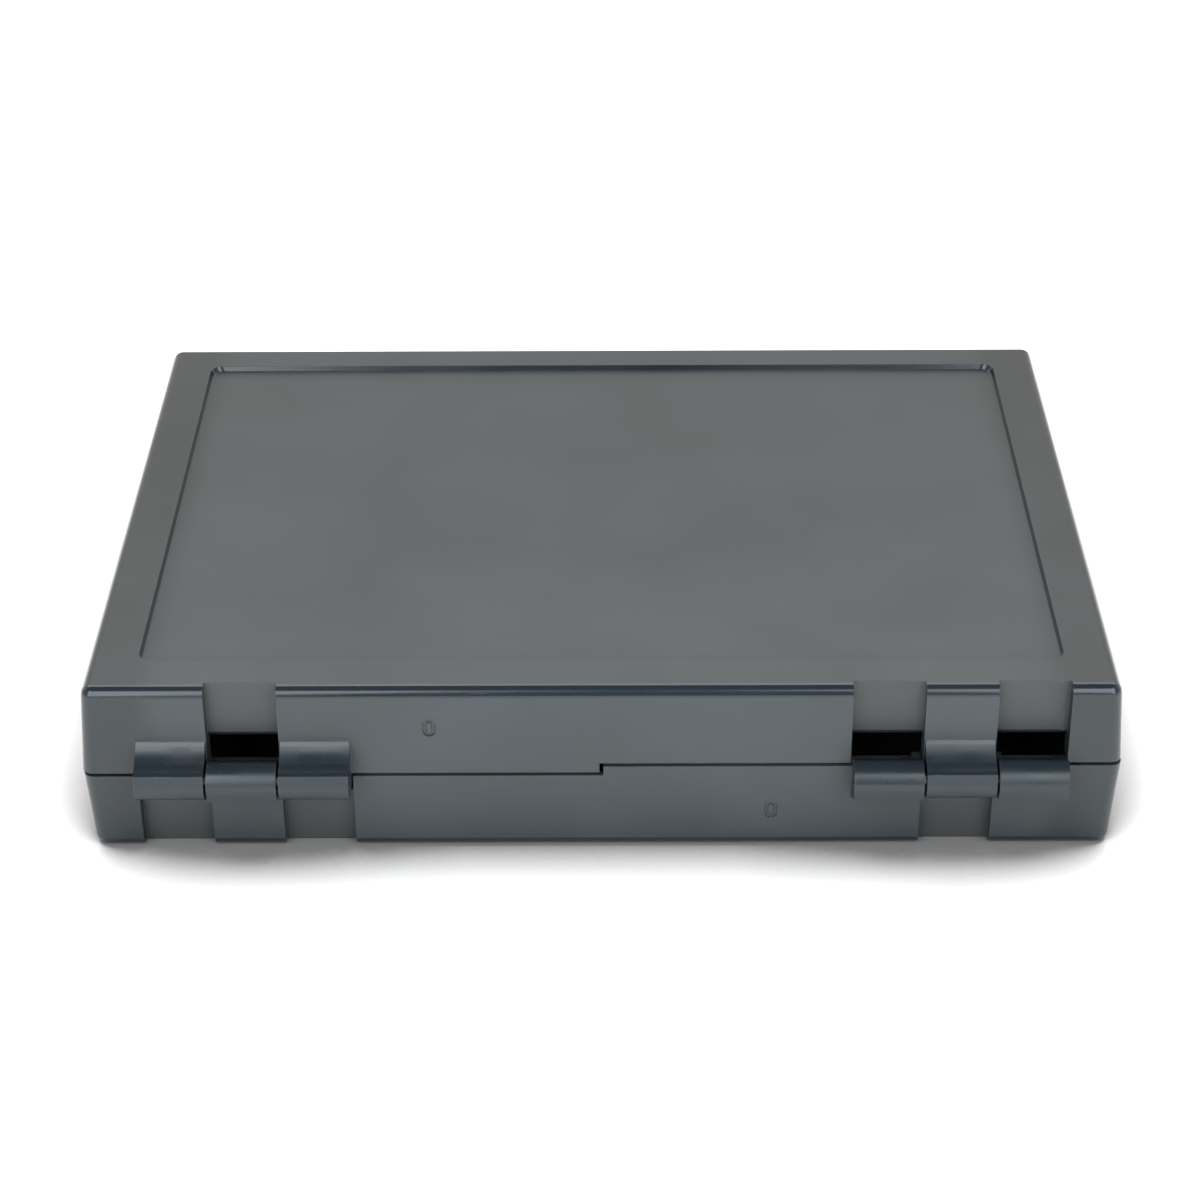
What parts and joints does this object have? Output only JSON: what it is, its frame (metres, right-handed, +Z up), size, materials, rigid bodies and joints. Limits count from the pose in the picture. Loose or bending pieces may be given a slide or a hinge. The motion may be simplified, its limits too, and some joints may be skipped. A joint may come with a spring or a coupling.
{
  "type": "toolbox with tray",
  "caption": "Flat hinged plastic toolbox with a recessed lid panel, sliding latches, a moulded carrying handle and a lift-out tray with removable dividers.",
  "frame": {"origin": "on the resting plane, under the middle of the closed case's overall outline, handle and hinge knuckles included", "axes": "+X along the width (longest side), +Y from the handle side to the hinge side, +Z up; the lid is closed at rest"},
  "size_m": [0.27, 0.2344, 0.0492],
  "materials": {
    "shell": "fine moulded texture, semi-gloss",
    "latch": "smooth moulded, semi-gloss",
    "tray": "fine moulded texture",
    "divider": "fine moulded texture",
    "pin": "drawn wire, plain"
  },
  "bodies": {
    "base": {"base_shell": "shell", "hinge_pin_left": "pin", "hinge_pin_right": "pin"},
    "lid": {"lid_shell": "shell"},
    "lid_latch": {"latch_slider_lid": "latch"},
    "base_latch": {"latch_slider_base": "latch"},
    "tray": {"tray": "tray", "divider_middle_1": "divider", "divider_middle_2": "divider", "divider_middle_3": "divider", "divider_middle_4": "divider", "divider_rear_1": "divider", "divider_rear_2": "divider", "divider_rear_3": "divider", "divider_rear_4": "divider"}
  },
  "joints": [
    {"name": "lid_hinge", "type": "hinge", "parent": "base", "child": "lid", "pos_m": [0, 0.11207, 0.0246], "axis": [-1, 0, 0], "range_deg": [0, 180]},
    {"name": "lid_latch_slide", "type": "slide", "parent": "lid", "child": "lid_latch", "axis": [-1, 0, 0], "range_m": [0, 0.0087]},
    {"name": "base_latch_slide", "type": "slide", "parent": "base", "child": "base_latch", "axis": [1, 0, 0], "range_m": [0, 0.0087]},
    {"name": "tray_lift", "type": "slide", "parent": "base", "child": "tray", "axis": [0, 0, 1], "range_m": [0, 0.02]}
  ]
}
